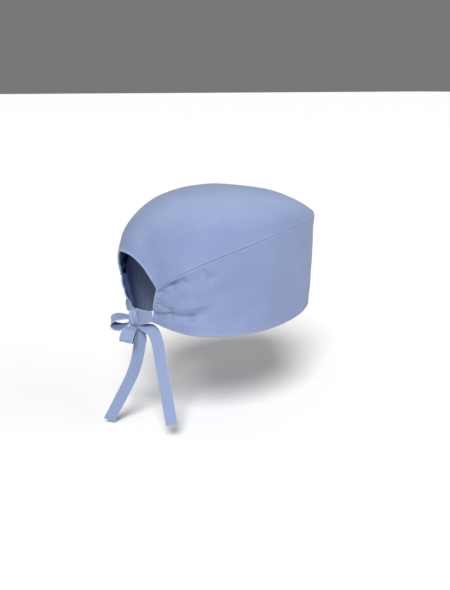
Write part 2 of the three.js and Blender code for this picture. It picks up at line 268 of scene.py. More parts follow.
def distances(grid, axis):
    """How far each point of a grid lies from its first one along that axis."""
    steps = np.linalg.norm(np.diff(grid, axis=axis), axis=2)
    start = np.zeros_like(np.take(steps, [0], axis=axis))
    return np.concatenate([start, np.cumsum(steps, axis=axis)], axis=axis)


def hump(distance, middle, spread):
    """1 at the middle, falling away smoothly over the spread."""
    return np.exp(-(((distance - middle) / spread) ** 2))


def ramp(value, low, high):
    """0 below low, 1 above high, and smooth between."""
    share = np.clip((value - low) / (high - low), 0, 1)
    return share * share * (3 - 2 * share)


def ridges(distance, profile):
    """How high the cloth stands, in mm, at a distance from its edge. Each ridge of the profile has
    its height, or depth below 0, its distance from the edge and its spread, in mm."""
    return sum(
        height * hump(distance, place * MM, spread * MM) for height, place, spread in profile
    )


def pressed(run, rise, folds):
    """How deep the folds are, in mm, at a distance run along a sheet and rise up it. Each fold goes
    from one such place to another, in mm, and loses the share fade of its depth on the way."""
    depth = np.zeros_like(run)
    for fold in folds:
        start = np.array(fold["from"]) * MM
        line = np.array(fold["to"]) * MM - start
        across = run - start[0]
        up = rise - start[1]
        share = np.clip((across * line[0] + up * line[1]) / (line @ line), 0, 1)
        away = np.hypot(across - share * line[0], up - share * line[1])
        ease = 1 - fold["fade"] * share
        depth += fold["depth"] * ease * hump(away, 0, fold["spread"] * MM)
    return depth


def rumple(grid, size, seed):
    """Soft uneven swelling, from about -1 to 1, over lengths of that size."""
    flat = grid.reshape(-1, 3) / size + seed
    return np.array([noise.noise(Vector(point)) for point in flat]).reshape(grid.shape[:2])


def waves(grid, swells):
    """How high low waves stand, in mm. Each has its height and its length in mm, and its seed."""
    return sum(height * rumple(grid, length * MM, seed) for height, length, seed in swells)


def eased(ring):
    """A closed ring of columns, each one averaged with its neighbours."""
    weights = np.hanning(2 * EASING + 3)[1:-1]
    weights = weights / weights.sum()
    return sum(w * np.roll(ring, k - EASING, axis=0) for k, w in enumerate(weights))


def lay_cloth(name, grid, cut, wear, fade, closed):
    """A piece of cloth: a flat grid whose points are moved to grid[column][row]. cut is where each
    point lies on the flat cloth, in metres. wear is how much paler it is made, from 0 to 1: where
    it is rubbed, and on the knot also as painted shade in the creases. fade is how far it runs to
    its paler colour; on the crown's top that is painted light, at the lining's ends painted shade."""
    columns, rows = grid.shape[:2]
    bpy.ops.object.select_all(action="DESELECT")
    bpy.ops.mesh.primitive_grid_add(x_subdivisions=columns - 1, y_subdivisions=rows - 1)
    cloth = bpy.context.object
    cloth.name = name
    cloth.data.name = name
    place = grid.transpose(1, 0, 2).reshape(-1, 3)
    cloth.data.vertices.foreach_set("co", place.ravel().astype(np.float32))
    corners = np.zeros(len(cloth.data.loops), int)
    cloth.data.loops.foreach_get("vertex_index", corners)
    flat = cut.transpose(1, 0, 2).reshape(-1, 2)[corners]
    cloth.data.uv_layers[0].name = "cut"
    cloth.data.uv_layers["cut"].uv.foreach_set("vector", flat.ravel().astype(np.float32))
    for look, amount in (("wear", wear), ("fade", fade)):
        amount = np.broadcast_to(amount, (columns, rows)).T.ravel().astype(np.float32)
        cloth.data.attributes.new(look, "FLOAT", "POINT").data.foreach_set("value", amount)
    cloth.data.update()
    if closed:
        bpy.ops.object.mode_set(mode="EDIT")
        bpy.ops.mesh.select_all(action="SELECT")
        bpy.ops.mesh.remove_doubles(threshold=POLE_WELD)
        bpy.ops.object.mode_set(mode="OBJECT")
    bpy.ops.object.shade_smooth()
    return cloth


def thicken(cloth, wall, inside):
    """Gives a sheet its thickness, inwards, with another finish on its inner face."""
    bpy.context.view_layer.objects.active = cloth
    solid = cloth.modifiers.new("wall", "SOLIDIFY")
    solid.thickness = wall
    solid.offset = -1
    solid.use_even_offset = False
    if inside:
        cloth.data.materials.append(inside)
        solid.material_offset = 1
    bpy.ops.object.modifier_apply(modifier=solid.name)


class Wire:
    """One wire of a cloth's shader: a number, colour or vector that can be reckoned with."""

    def __init__(self, tree, socket=None):
        self.tree = tree
        self.socket = socket

    def node(self, kind, settings, sockets, output=0):
        made = self.tree.nodes.new(kind)
        for name, value in settings.items():
            setattr(made, name, value)
        for name, value in sockets.items():
            if isinstance(value, Wire):
                self.tree.links.new(value.socket, made.inputs[name])
            else:
                made.inputs[name].default_value = value
        return Wire(self.tree, made.outputs[output])

    def reckon(self, operation, *numbers):
        return self.node("ShaderNodeMath", {"operation": operation}, dict(enumerate(numbers)))

    def __add__(self, other):
        return self.reckon("ADD", self, other)

    def __sub__(self, other):
        return self.reckon("SUBTRACT", self, other)

    def __rsub__(self, other):
        return self.reckon("SUBTRACT", other, self)

    def __mul__(self, other):
        return self.reckon("MULTIPLY", self, other)

    __radd__ = __add__
    __rmul__ = __mul__


def tint(wire, share, first, second):
    """A colour that runs from the first to the second with the share."""
    return wire.node(
        "ShaderNodeMix",
        {"data_type": "RGBA"},
        {"Factor": share, 6: first, 7: second},
        output=2,
    )


def woven(name, strong, faded, yarn, sheen):
    """Plain-woven cloth that runs from its strong colour to its paler one by fade, in random
    patches.
    yarn is the width of one yarn.
    """
    finish = bpy.data.materials.new(name)
    finish.use_nodes = True
    tree = finish.node_tree
    shader = tree.nodes["Principled BSDF"]
    shader.inputs["Specular IOR Level"].default_value = CLOTH_SHINE
    shader.inputs["Sheen Weight"].default_value = sheen
    shader.inputs["Sheen Roughness"].default_value = SHEEN_SPREAD
    wire = Wire(tree)

    cut = wire.node("ShaderNodeUVMap", {"uv_map": "cut"}, {})
    place = wire.node("ShaderNodeTexCoord", {}, {}, output="Object")
    wear = wire.node("ShaderNodeAttribute", {"attribute_name": "wear"}, {}, output="Fac")

    across = wire.node("ShaderNodeSeparateXYZ", {}, {0: cut}, output=0)
    along = wire.node("ShaderNodeSeparateXYZ", {}, {0: cut}, output=1)
    warp = wire.reckon("SINE", across * (math.pi / yarn))
    weft = wire.reckon("SINE", along * (math.pi / yarn))
    over = wire.reckon("GREATER_THAN", warp * weft, 0.0)
    warp = wire.reckon("ABSOLUTE", warp)
    weft = wire.reckon("ABSOLUTE", weft)
    weave = weft + (warp - weft) * over

    slubs = 0
    for stretch in SLUB_STRETCHES:
        drawn = wire.node("ShaderNodeMapping", {}, {"Vector": cut, "Scale": stretch})
        thick = wire.node("ShaderNodeTexNoise", {}, {"Vector": drawn, **SLUB_DETAIL})
        slubs = thick + slubs
    patches = wire.node("ShaderNodeTexNoise", {}, {"Vector": place, **PATCHES})
    fade = wire.node("ShaderNodeAttribute", {"attribute_name": "fade"}, {}, output="Fac")
    fade = fade + (patches - 0.5) * PATCHINESS
    fade = wire.reckon("SMOOTH_MAX", fade, 0.0, PATCH_BLEND)
    fade = wire.reckon("SMOOTH_MIN", fade, 1.0, PATCH_BLEND)
    colour = tint(wire, fade, strong, faded)
    deep = wire.node(
        "ShaderNodeMix",
        {"data_type": "RGBA", "blend_type": "MULTIPLY"},
        {"Factor": (SLUB_SUM - slubs) * SLUB_TONE, 6: colour, 7: YARN_SHADOW},
        output=2,
    )
    pale = tint(wire, wear * RUB, deep, RUBBED_PALE)
    tree.links.new(pale.socket, shader.inputs["Base Color"])
    rough = CLOTH_ROUGHNESS + slubs * SLUB_ROUGHNESS
    tree.links.new(rough.socket, shader.inputs["Roughness"])

    soft = wire.node("ShaderNodeTexNoise", {}, {"Vector": place, **SOFTNESS})
    height = weave * WEAVE_RELIEF + slubs * SLUB_RELIEF + soft * SOFT_RELIEF
    bump = wire.node("ShaderNodeBump", {}, {"Height": height, **RELIEF})
    tree.links.new(bump.socket, shader.inputs["Normal"])
    return finish


# The panel in fine steps, first up the net and then round it, with the corners of its edge eased.
net = cad_net("crown", CROWN_HEART, False)
top = net[-1:, 0]
over_the_top = net[-2:-1] * [-1, -1, 1] + [0, 2 * top[0, 1], 0]
ribs = smooth_through(net, CROWN_ROWS, 2 * net[:1] - net[1:2], np.repeat(over_the_top, 2, 0))
ribs = ribs.transpose(1, 0, 2)
grid = smooth_through(ribs, CROWN_COLUMNS % len(ribs), ribs[-1:], ribs[:2])
once = eased(grid[:-1])
once = 2 * once - eased(once)
once = np.concatenate([once, once[:1]])
grid = grid + (once - grid) * ramp(distances(grid, 1), *EASED)[..., None]
normal = face_out(grid[:-1], True)
normal = np.concatenate([normal, normal[:1]])
normal[:, -1] = (0, 0, 1)
rise = distances(grid, 1)
edge_run = distances(grid, 0)[:, :1]
flap_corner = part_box("side_band")[1].y
arch = ramp(grid[:, :1, 1], flap_corner, flap_corner + ARCH_START)
half = len(arch) // 2
corner_run = np.interp(0.5, arch[:half, 0][::-1], edge_run[:half, 0][::-1])
run = np.minimum(edge_run, edge_run[-1] - edge_run) - corner_run + 0 * rise

arch_edge = ridges(rise, ARCH_EDGE) + ARCH_HEM * (1 - ramp(rise, *ARCH_FOLD))
lift = (1 - arch) * ridges(rise, SEAM_EDGE) + arch * arch_edge
lift += waves(grid, CROWN_WAVES) * ramp(rise, *CROWN_CALM) - pressed(run, rise, CROWN_FOLDS)
grid = grid + normal * (lift * MM)[..., None]
tucked = [
    grid[:, :1] - normal[:, :1] * inward * MM - (1 - arch)[..., None] * Vector((0, 0, down * MM))
    for inward, down in TUCK
]
grid = np.concatenate([*tucked, grid], axis=1)
from_heart = grid - np.array(CROWN_HEART)
slope = np.arccos(from_heart[..., 2] / np.linalg.norm(from_heart, axis=2))
way = np.arctan2(from_heart[..., 0], from_heart[..., 1])
cut = CROWN_ROUND * np.stack([slope * np.sin(way), slope * np.cos(way)], axis=2)
rise = np.concatenate([np.zeros((len(rise), len(TUCK))), rise], axis=1)
wear = np.maximum(ridges(rise, SEAM_WEAR), arch * ridges(rise, ARCH_WEAR))
crown_grid = grid[:, len(TUCK):]
crown_rise = rise[:, len(TUCK):]

# Painted light: the more upturned the crown's cloth faces, the paler blue it is painted, as if lit
# from above.
upturned = np.concatenate([normal[:, :1, 2]] * len(TUCK) + [normal[..., 2]], axis=1)
crown = lay_cloth("crown_panel", grid, cut, wear, ramp(upturned, *LIT_SLOPE), True)
ceil_cloth = woven("ceil_blue_cloth", CEIL_BLUE, PALE_AND_LIT_BLUE, YARN, OUTSIDE_SHEEN)
# The inner faces of the crown and the band are painted dark navy: painted shade.
inside_shade_cloth = woven("inside_shade_navy", SHADE_NAVY, SHADE_NAVY, YARN, INSIDE_SHEEN)
crown.data.materials.append(ceil_cloth)
thicken(crown, CLOTH_WALL, inside_shade_cloth)
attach(crown, "root")
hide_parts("crown")

# ---- Side band -----------------------------------------------------------------------------------
# One deep band of the same cloth from flap end to flap end. It is turned up and stitched at the
# rim, sewn under the crown at its top, and gathered in a casing at each flap end by its tie.

BAND_HEART = Vector((0, 0, 50)) * MM
END_STEP = 0.125  # between columns near the flap ends, in steps of the CAD's net
MIDDLE_STEP = 0.25  # between the others
ROW_STEP = 0.05  # between rows, until they are spaced anew in mm above the rim and below the seam
RIM_ROWS = [0, 0.15, 0.4, 0.8, 1.4, 2.2, 3.2, 4.2, 5, 5.4, 5.8, 6.2, 6.6, 7.2, 8]
MIDDLE_ROWS = 58
SEAM_ROWS = [3.6, 2.8, 2.1, 1.6, 1.2, 0.9, 0.6, 0.3, 0]
HEM_STITCH = 5.6  # mm above the rim
HEM = 0.35  # how thick the turned edge is, in mm
HEM_FOLD = np.array([6.1, 6.8]) * MM  # above the rim: where it thins out again
CASING_STITCH = 5.2  # mm from the flap end
CASING = 0.45  # how thick its turned end is, likewise
CASING_FOLD = np.array([5.2, 6]) * MM
RIM_EDGE = [(-0.4, HEM_STITCH, 0.4), (-0.5, 0, 0.45)]
BAND_TOP = [(0.2, 2.1, 1.2), (-0.9, 0, 0.8)]
FLAP_END = [(-0.5, CASING_STITCH, 0.5), (-0.4, 0, 0.5)]
BAND_WEAR = [(1, 0.4, 1.1)]
BAND_WAVES = [(1.3, 55, 12.3), (0.28, 16, 2.9)]
BAND_TUCK = [(0.5, 0.5), (1.1, 1)]  # inward and along the cloth, in mm: the edge under the crown
BAND_TUCK_RISE = 0.1
BAND_FADE = 0.1
GATHER_PITCH = 5.4 * MM
GATHER_WANDER = [(1.3, 11, 5.7)]  # waves again, but in pitches and not in mm
GATHER_MEAN = 0.55  # mm high
GATHER_DEPTH = [(0.6, 19, 21.5)]  # what is added to the mean
GATHER_SLANT = 60 * MM  # from the flap end: there they lie one pitch lower
GATHER_REACH = 13 * MM  # from the flap end: there a third of their height is left
GATHER_START = np.array([1, 7]) * MM  # from the flap end
WAVES_CLEAR = ((2, 12), (2, 14))  # see clear_of_edges
GATHERS_CLEAR = ((3, 9), (1, 6))
FOLDS_CLEAR = ((1, 5), (1, 5))
SLACK = 7 * MM  # how far the rim hangs down behind the left ear
SLACK_SIDE = np.array([15, 60]) * MM  # to the wearer's left: where the slack starts, and is whole
SLACK_MIDDLE = 44 * MM
SLACK_SPREAD = 36 * MM
SLACK_LEVELS = np.array([-10, 60]) * MM  # where it is whole, and ends
BAND_FOLDS = [
    {"from": (5, 49), "to": (23, 48), "depth": 1.5, "spread": 3.6, "fade": -0.2},
    {"from": (23, 48), "to": (36, 53), "depth": 1.9, "spread": 4.2, "fade": 0},
    {"from": (36, 53), "to": (50, 50), "depth": 1.6, "spread": 4.6, "fade": 0.8},
    {"from": (55, 66), "to": (62, 59), "depth": 0.9, "spread": 3.4, "fade": -0.3},
    {"from": (62, 59), "to": (78, 68), "depth": 1.2, "spread": 4.4, "fade": 0.8},
    {"from": (5, 10), "to": (24, 15), "depth": 1.2, "spread": 2.4, "fade": -0.5},
    {"from": (24, 15), "to": (46, 17.5), "depth": 1.9, "spread": 3.2, "fade": -0.2},
    {"from": (46, 17.5), "to": (66, 31), "depth": 2.3, "spread": 4.6, "fade": 0.9},
    {"from": (10, 24), "to": (24, 21), "depth": 1.3, "spread": 2.6, "fade": 0.1},
    {"from": (24, 21), "to": (37, 38), "depth": 1.5, "spread": 4, "fade": 0.5},
    {"from": (8, 39), "to": (26, 40), "depth": 1.3, "spread": 2.8, "fade": 0.5},
    {"from": (15, 31), "to": (20, 31), "depth": -1.8, "spread": 4.5, "fade": 0},
    {"from": (40, 34), "to": (110, 52), "depth": 1, "spread": 9, "fade": 0.4},
    {"from": (60, 16), "to": (150, 34), "depth": 0.9, "spread": 11, "fade": 0.4},
]


def let_down(grid):
    """The sheet with its rim hanging lower behind the left ear, where the cloth is slack."""
    x, y, z = grid.transpose(2, 0, 1)
    slack = SLACK * ramp(x, *SLACK_SIDE) * hump(y, SLACK_MIDDLE, SLACK_SPREAD)
    return np.stack([x, y, z - slack * (1 - ramp(z, *SLACK_LEVELS))], axis=2)


def clear_of_edges(rise, fall, clear):
    """0 at the two long edges of a sheet and 1 between them. clear is where it leaves 0 and reaches
    1, in mm above the lower edge and below the upper one."""
    above, below = np.array(clear) * MM
    return ramp(rise, *above) * ramp(fall, *below)


def spaced_rows(columns, low, count, high):
    """The same sheet with rows at these distances, in mm, from its lower and its upper edge."""
    spaced = []
    for column, length in zip(columns, distances(columns, 1)):
        span = length[-1] / MM
        middle = np.linspace(low[-1], span - high[0], count + 2)[1:-1]
        places = np.concatenate([low, middle, span - np.array(high)]) * MM
        spaced.append(np.stack([np.interp(places, length, column[:, k]) for k in range(3)], 1))
    return np.array(spaced)


net = cad_net("side_band", BAND_HEART, True)
last = net.shape[1] - 1
end_places = np.arange(0, 2, END_STEP)
middle_places = np.arange(2, last - 1.99, MIDDLE_STEP)
places = np.concatenate([end_places, middle_places, (last - end_places)[::-1]])
ribs = smooth_through(net, np.arange(0, len(net) - 0.99, ROW_STEP), *beyond(net))
ribs = ribs.transpose(1, 0, 2)
grid = smooth_through(ribs, places, *beyond(ribs))
grid = let_down(spaced_rows(grid, RIM_ROWS, MIDDLE_ROWS, SEAM_ROWS))
normal = face_out(grid, False)
rise = distances(grid, 1)
below_seam = rise[:, -1:] - rise
run = distances(grid, 0)
from_end = np.minimum(run, run[-1:] - run)

lift = ridges(rise, RIM_EDGE) + ridges(below_seam, BAND_TOP) + ridges(from_end, FLAP_END)
lift += HEM * (1 - ramp(rise, *HEM_FOLD)) + CASING * (1 - ramp(from_end, *CASING_FOLD))
lift += waves(grid, BAND_WAVES) * clear_of_edges(rise, below_seam, WAVES_CLEAR)
lift -= pressed(from_end, rise, BAND_FOLDS) * clear_of_edges(rise, below_seam, FOLDS_CLEAR)
slant = from_end / GATHER_SLANT
gathers = np.sin(math.tau * (rise / GATHER_PITCH + waves(grid, GATHER_WANDER) + slant))
gathers *= GATHER_MEAN + waves(grid, GATHER_DEPTH)
gathers *= np.exp(-from_end / GATHER_REACH) * ramp(from_end, *GATHER_START)
lift += gathers * clear_of_edges(rise, below_seam, GATHERS_CLEAR)
grid = grid + normal * (lift * MM)[..., None]
band_grid = grid

top, top_normal = grid[:, -1:], normal[:, -1:]
up = Vector((0, 0, BAND_TUCK_RISE * MM))
grid = np.concatenate([grid, *(top - top_normal * turn * MM + up for turn, _ in BAND_TUCK)], axis=1)
middle_run = np.repeat(run[:, run.shape[1] // 2, None], grid.shape[1], 1)
rise = np.concatenate([rise, *(rise[:, -1:] + along * MM for _, along in BAND_TUCK)], axis=1)
cut = np.stack([middle_run, rise], axis=2)
edges = np.minimum(np.minimum(middle_run, middle_run[-1:] - middle_run), rise)

band = lay_cloth("side_band_panel", grid, cut, ridges(edges, BAND_WEAR), BAND_FADE, False)
band.data.materials.append(ceil_cloth)
# Its inner face is painted dark navy too: painted shade.
thicken(band, CLOTH_WALL, inside_shade_cloth)
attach(band, "root")
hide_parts("side_band")

# ---- Lining --------------------------------------------------------------------------------------
# The dark inner face of the band. Its dark slate is painted shade for the inside of the cap,
# paler in its middle and painted darker towards its ends; its lower edge is rubbed paler. It
# hangs a little slack behind the folds, and has the soft upright ribs of a cloth held only along
# its two edges.

LINING_WALL = 0.8 * MM
LINING_ROWS = 41
LINING_CLEAR = ((0, 14), (0, 14))
LINING_SLACK = -0.5  # mm, and below 0 because it hangs inwards
RIB_DEPTH = 0.45
LINING_WAVES = [(0.6, 24, 9.1)]
SEWN_DEPTH = 0.8 * CLOTH_WALL  # how far into the band its edges are sewn
RIB_PITCH = 8.5 * MM
RIB_WANDER = [(0.7, 30, 4.4)]  # in pitches
LINING_WEAR = [(1, 0, 1)]
LINING_YARN = 0.36 * MM
LINING_SHEEN = 0.04
LINING_FADE = 0.72
END_SHADE = 1.2  # how much darker it is painted near its ends: painted shade
END_SHADE_SPAN = np.array([26, 60]) * MM  # from an end: how far the painted shade is whole, and where it is gone
# Both slates are dark for the shade inside the cap (painted shade); the deeper one is at the ends.
SLATE = (0.148, 0.18, 0.272, 1)
SHADE_SLATE = (0.034, 0.056, 0.155, 1)


def sewn_down(points):
    """The points of an edge moved out to where they are sewn to the inner face of the band."""
    face = (band_grid - face_out(band_grid, False) * SEWN_DEPTH).reshape(-1, 3)
    return np.array([face[np.argmin(((face - point) ** 2).sum(1))] for point in points])


net = cad_net("band_lining", BAND_HEART, True)
last = net.shape[1] - 1
ribs = smooth_through(net, np.linspace(0, len(net) - 1, LINING_ROWS), *beyond(net))
ribs = ribs.transpose(1, 0, 2)
grid = let_down(smooth_through(ribs, np.arange(0, last + 0.01, MIDDLE_STEP), *beyond(ribs)))
normal = face_out(grid, False)
rise = distances(grid, 1)
run = distances(grid, 0)
ribbing = RIB_DEPTH * np.sin(math.tau * (run / RIB_PITCH + waves(grid, RIB_WANDER)))
lift = LINING_SLACK - ribbing + waves(grid, LINING_WAVES)
lift = np.minimum(lift * clear_of_edges(rise, rise[:, -1:] - rise, LINING_CLEAR), 0)
grid = grid + normal * (lift * MM)[..., None]
middle_run = np.repeat(run[:, LINING_ROWS // 2, None], grid.shape[1], 1)
cut = np.stack([middle_run, rise], axis=2)
grid = np.concatenate([sewn_down(grid[:, 0])[:, None], grid], axis=1)
grid = np.concatenate([sewn_down(grid[0])[None], grid, sewn_down(grid[-1])[None]])
cut = np.pad(cut, ((1, 1), (1, 0), (0, 0)), "edge")
rise = np.pad(rise, ((1, 1), (1, 0)), "edge")
from_end = np.minimum(cut[..., 0], run.max() - cut[..., 0])
# Painted shade: the lining is darker slate towards its ends.
fade = LINING_FADE - END_SHADE * (1 - ramp(from_end, *END_SHADE_SPAN))

lining = lay_cloth("band_lining_panel", grid, cut, ridges(rise, LINING_WEAR), fade, False)
slate_cloth = woven("slate_lining_cloth", SHADE_SLATE, SLATE, LINING_YARN, LINING_SHEEN)
lining.data.materials.append(slate_cloth)
thicken(lining, LINING_WALL, None)
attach(lining, "root")
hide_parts("band_lining")

# ---- Ties ----------------------------------------------------------------------------------------
# Two long strips of the same cloth, each folded lengthwise, pressed and stitched along its open
# edge. Each runs out of its flap's casing to the knot, makes one loop of the bow and hangs down.

TIE_WALL = 1.1 * MM
TIE_WIDTH = 12.5  # mm, as are the sizes that follow
TIE_STITCH = 1.4  # in from the open edge
TIE_INSETS = [0, 0.08, 0.25, 0.5, 0.8, 1.1, 1.4, 1.7, 2.1, 2.8, 3.8, 5]  # rows, in from an edge
TIE_ENDS = [0, 0.08, 0.25, 0.55]  # columns, in from an end
TIE_STEP = 1.1  # between the other columns
TIE_ROUNDING = 0.6  # how far in from its edges and ends a strip is rounded off
TIE_FOLD = (0.8, 0.6)  # how far in it is thickest, where its edges are folded, and the spread
TIE_FOLD_SWELL = 0.25  # how much thicker it is there, as a share of its wall
TIE_GROOVE = 0.35  # how much thinner its stitches pull it, likewise
TIE_GROOVE_SPREAD = 0.3
TIE_CUP = 0.1  # how far its middle dips
TIE_WAVES = [(0.45, 15, 6.6)]
PLEAT_REACH = 6  # how far the pleats reach from an end that is pulled tight
UPPER_PLEATS = (2.3, 0.5)  # how many across the strip, and their turn
LOWER_PLEATS = (1.8, -0.7)
TIE_FADE = 0.5
TIE_WEAR_SPREAD = 0.7
TIE_BLUE = (0.187, 0.235, 0.385, 1)
FADED_TIE = (0.21, 0.262, 0.4, 1)
LOOP_SHADE_TIE = (0.095, 0.125, 0.225, 1)  # painted shade on the faces inside the loops
# pull and on are for the upper and the lower end: how high its pleats stand, and how far it runs on
# into the knot or the casing, both in mm. flat is the length of the stretch in metres.
TIES = {
    "tie_strap_right": {"held": "stretched", "pull": (0.5, 0.5), "flat": 0.029, "on": (4, 3)},
    "tie_strap_left": {"held": "stretched", "pull": (0.5, 0.5), "flat": 0.018, "on": (4, 3)},
    "bow_loop_left": {"held": "folded", "pull": (0.7, 0.7), "flat": 0.046, "on": (1.5, 1.5)},
    "bow_loop_right": {"held": "folded", "pull": (0.6, 0.5), "flat": 0.045, "on": (1.5, 1.5)},
    "tie_tail_right": {"held": "hung", "pull": (0.8, 0), "flat": 0.118, "on": (1.5, 0)},
    "tie_tail_left": {"held": "hung", "pull": (0.6, 0), "flat": 0.124, "on": (1.5, 0)},
}


def tie_rails(node):
    """The four long edges of a CAD strip as rails[step][edge], from its upper end. The first two
    edges bound one face of the strip, and the last two bound the other."""
    strip = bmesh.new()
    strip.from_mesh(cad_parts[node].data)
    bmesh.ops.remove_doubles(strip, verts=strip.verts, dist=WELD)
    ends = {vertex for vertex in strip.verts if len(vertex.link_edges) < 6}
    first = max(ends, key=lambda vertex: vertex.co.z)
    end = {first}
    while len(end) < 4:
        end |= {side.other_vert(vertex) for vertex in end for side in vertex.link_edges} & ends
    first, beside, opposite, across = sorted(end, key=lambda vertex: (vertex.co - first.co).length)
    ring = [first, opposite, across, beside]
    seen = set()
    rails = []
    while ring:
        rails.append([vertex.co.copy() for vertex in ring])
        seen.update(ring)
        ahead = {side.other_vert(vertex) for vertex in ring for side in vertex.link_edges} - seen
        ring = min(
            itertools.permutations(sorted(ahead, key=lambda vertex: vertex.index)),
            key=lambda turned: sum((a.co - b).length for a, b in zip(turned, rails[-1])),
        )
    strip.free()
    return np.array(rails)


def run_on(rails, reach):
    """The rails with one more step, so far in line with the last two."""
    step = rails[-1] - rails[-2]
    step *= reach * MM / np.linalg.norm(step.mean(0))
    return np.concatenate([rails, [rails[-1] + step]])


def rounded(distance):
    """0 at the edge of a strip, and 1 where its rounding ends."""
    return np.sqrt(1 - (1 - np.clip(distance / TIE_ROUNDING, 0, 1)) ** 2)


def tie_strip(name, node, pull, on):
    """One stretch of a tie, and the lines that its stitches follow: see sew."""
    rails = tie_rails(node)
    rails = smooth_through(rails, np.arange(0, len(rails) - 0.99, 0.1), *beyond(rails))
    if on[0]:
        rails = run_on(rails[::-1], on[0])[::-1]
    if on[1]:
        rails = run_on(rails, on[1])
    length = distances(rails.mean(1, keepdims=True), 0)[:, 0] / MM
    span = length[-1]
    steps = np.linspace(TIE_ENDS[-1], span - TIE_ENDS[-1], int(span / TIE_STEP) + 2)[1:-1]
    run = np.concatenate([TIE_ENDS, steps, span - np.array(TIE_ENDS[::-1])])
    rails = np.stack([
        np.stack([np.interp(run, length, rails[:, side, k]) for k in range(3)], 1)
        for side in range(4)
    ], 1)
    middle = rails.mean(1)[:, None]
    across = (rails[:, 1] - rails[:, 0] + rails[:, 2] - rails[:, 3])[:, None] / 2
    out = face_out(np.stack([middle[:, 0], middle[:, 0] + across[:, 0]], 1), False)[:, :1]

    inset = np.array(TIE_INSETS + [TIE_WIDTH / 2])
    inset = np.concatenate([inset, TIE_WIDTH - inset[-2::-1]])
    edge = np.minimum(inset, TIE_WIDTH - inset)
    share = inset / TIE_WIDTH - 0.5
    run = run[:, None]
    swell = rounded(edge) * (1 + TIE_FOLD_SWELL * hump(edge, *TIE_FOLD))
    swell = swell - TIE_GROOVE * hump(inset, TIE_STITCH, TIE_GROOVE_SPREAD)
    swell = swell * rounded(np.minimum(run, span - run)) * TIE_WALL / 2

    place = middle + across * share[:, None]
    sag = waves(place, TIE_WAVES) - TIE_CUP * (1 - (2 * share) ** 2)
    ends = ((run, pull[0], UPPER_PLEATS), (span - run, pull[1], LOWER_PLEATS))
    for from_end, height, (count, turn) in ends:
        pleats = np.cos(math.tau * count * share + turn)
        sag = sag + height * pleats * np.exp(-from_end / PLEAT_REACH)
    sag = sag * MM
    front = place + out * (sag + swell)[..., None]
    back = place + out * (sag - swell)[..., None]
    grid = np.concatenate([front, back[:, -2::-1]], axis=1)
    inset = np.concatenate([inset, inset[-2::-1]])
    cut = np.stack(np.broadcast_arrays(inset * MM, run * MM), axis=2)
    edge = np.minimum(inset, TIE_WIDTH - inset)
    strip = lay_cloth(name, grid, cut, hump(edge, 0, TIE_WEAR_SPREAD), TIE_FADE, True)
    stitched = TIE_INSETS.index(TIE_STITCH)
    lines = [(front[:, stitched], out[:, 0]), (back[:, stitched], -out[:, 0])]
    return strip, lines


def close_shell(shell):
    """Turns the faces of a closed shell outwards."""
    bpy.context.view_layer.objects.active = shell
    bpy.ops.object.mode_set(mode="EDIT")
    bpy.ops.mesh.select_all(action="SELECT")
    bpy.ops.mesh.normals_make_consistent(inside=False)
    bpy.ops.object.mode_set(mode="OBJECT")


tie_cloth = woven("ceil_blue_tie", TIE_BLUE, FADED_TIE, YARN, OUTSIDE_SHEEN)
loop_shade_cloth = woven("loop_shade_tie", LOOP_SHADE_TIE, TIE_BLUE, YARN, INSIDE_SHEEN)
tie_seams = {}
for node, tie in TIES.items():
    strip, tie_seams[node] = tie_strip(node + "_strip", node, tie["pull"], tie["on"])
    close_shell(strip)
    strip.data.materials.append(tie_cloth)
    # Painted shade: the faces inside each loop take the darker tie colour.
    if node.startswith("bow_loop"):
        strip.data.materials.append(loop_shade_cloth)
        heart = sum(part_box(node), Vector()) / 2
        for face in strip.data.polygons:
            face.material_index = int(face.normal.dot(heart - face.center) > 0)
    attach(strip, "root")
    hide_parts(node)

# ---- Knot ----------------------------------------------------------------------------------------
# The middle of the bow: one tie passes once round the other, and is crushed into upright pleats.

KNOT_COLUMNS = 73
KNOT_ROWS = 37
KNOT_PLEATS = 6
KNOT_TWIST = 3.2  # how far the pleats turn from its middle to an end, and how far they wander
KNOT_WANDER = 0.9
KNOT_FULLNESS = 1.14  # the crushed cloth stands proud of the CAD's plain core
KNOT_CORE = 0.9  # the share of its reach below the pleats' middle height, and their height
KNOT_CRUSH = 0.2
KNOT_BULGE = (3, 0.42)  # how squarely its sides run, and how bluntly they close in
KNOT_LEAN = 0.16
KNOT_UNEVENNESS = 0.1
KNOT_HEIGHT = 1.03  # as a share of the CAD's, and how much that differs round the knot
KNOT_SKEW = 0.05
KNOT_WEAR_AND_SHADE = 0.3

low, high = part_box("knot")
middle = (low + high) / 2
size = high - low
turn = np.linspace(0, math.tau, KNOT_COLUMNS)[:, None]
level = np.linspace(-1, 1, KNOT_ROWS)[None, :]
bulge = (1 - np.abs(level) ** KNOT_BULGE[0]) ** KNOT_BULGE[1]
wander = KNOT_WANDER * np.sin(2 * turn + 0.6)
crush = np.cos(KNOT_PLEATS * turn + KNOT_TWIST * level + wander)
crush = 2 * np.sqrt((1 - crush) / 2) - 1  # round ridges with sharp creases between
reach = size.x / 2 * KNOT_FULLNESS * bulge * (KNOT_CORE + KNOT_CRUSH * crush)
reach = reach * (1 + KNOT_UNEVENNESS * np.sin(2.5 * level + 2 * turn))
lean = KNOT_LEAN * size.x * level
grid = np.stack([
    middle.x - reach * np.sin(turn) - lean,
    middle.y + reach * np.cos(turn) * size.y / size.x,
    middle.z + size.z / 2 * level * (KNOT_HEIGHT + KNOT_SKEW * np.sin(3 * turn + 1)),
], axis=2)
cut = np.stack(np.broadcast_arrays(turn * size.x / 2, level * size.z / 2), axis=2)
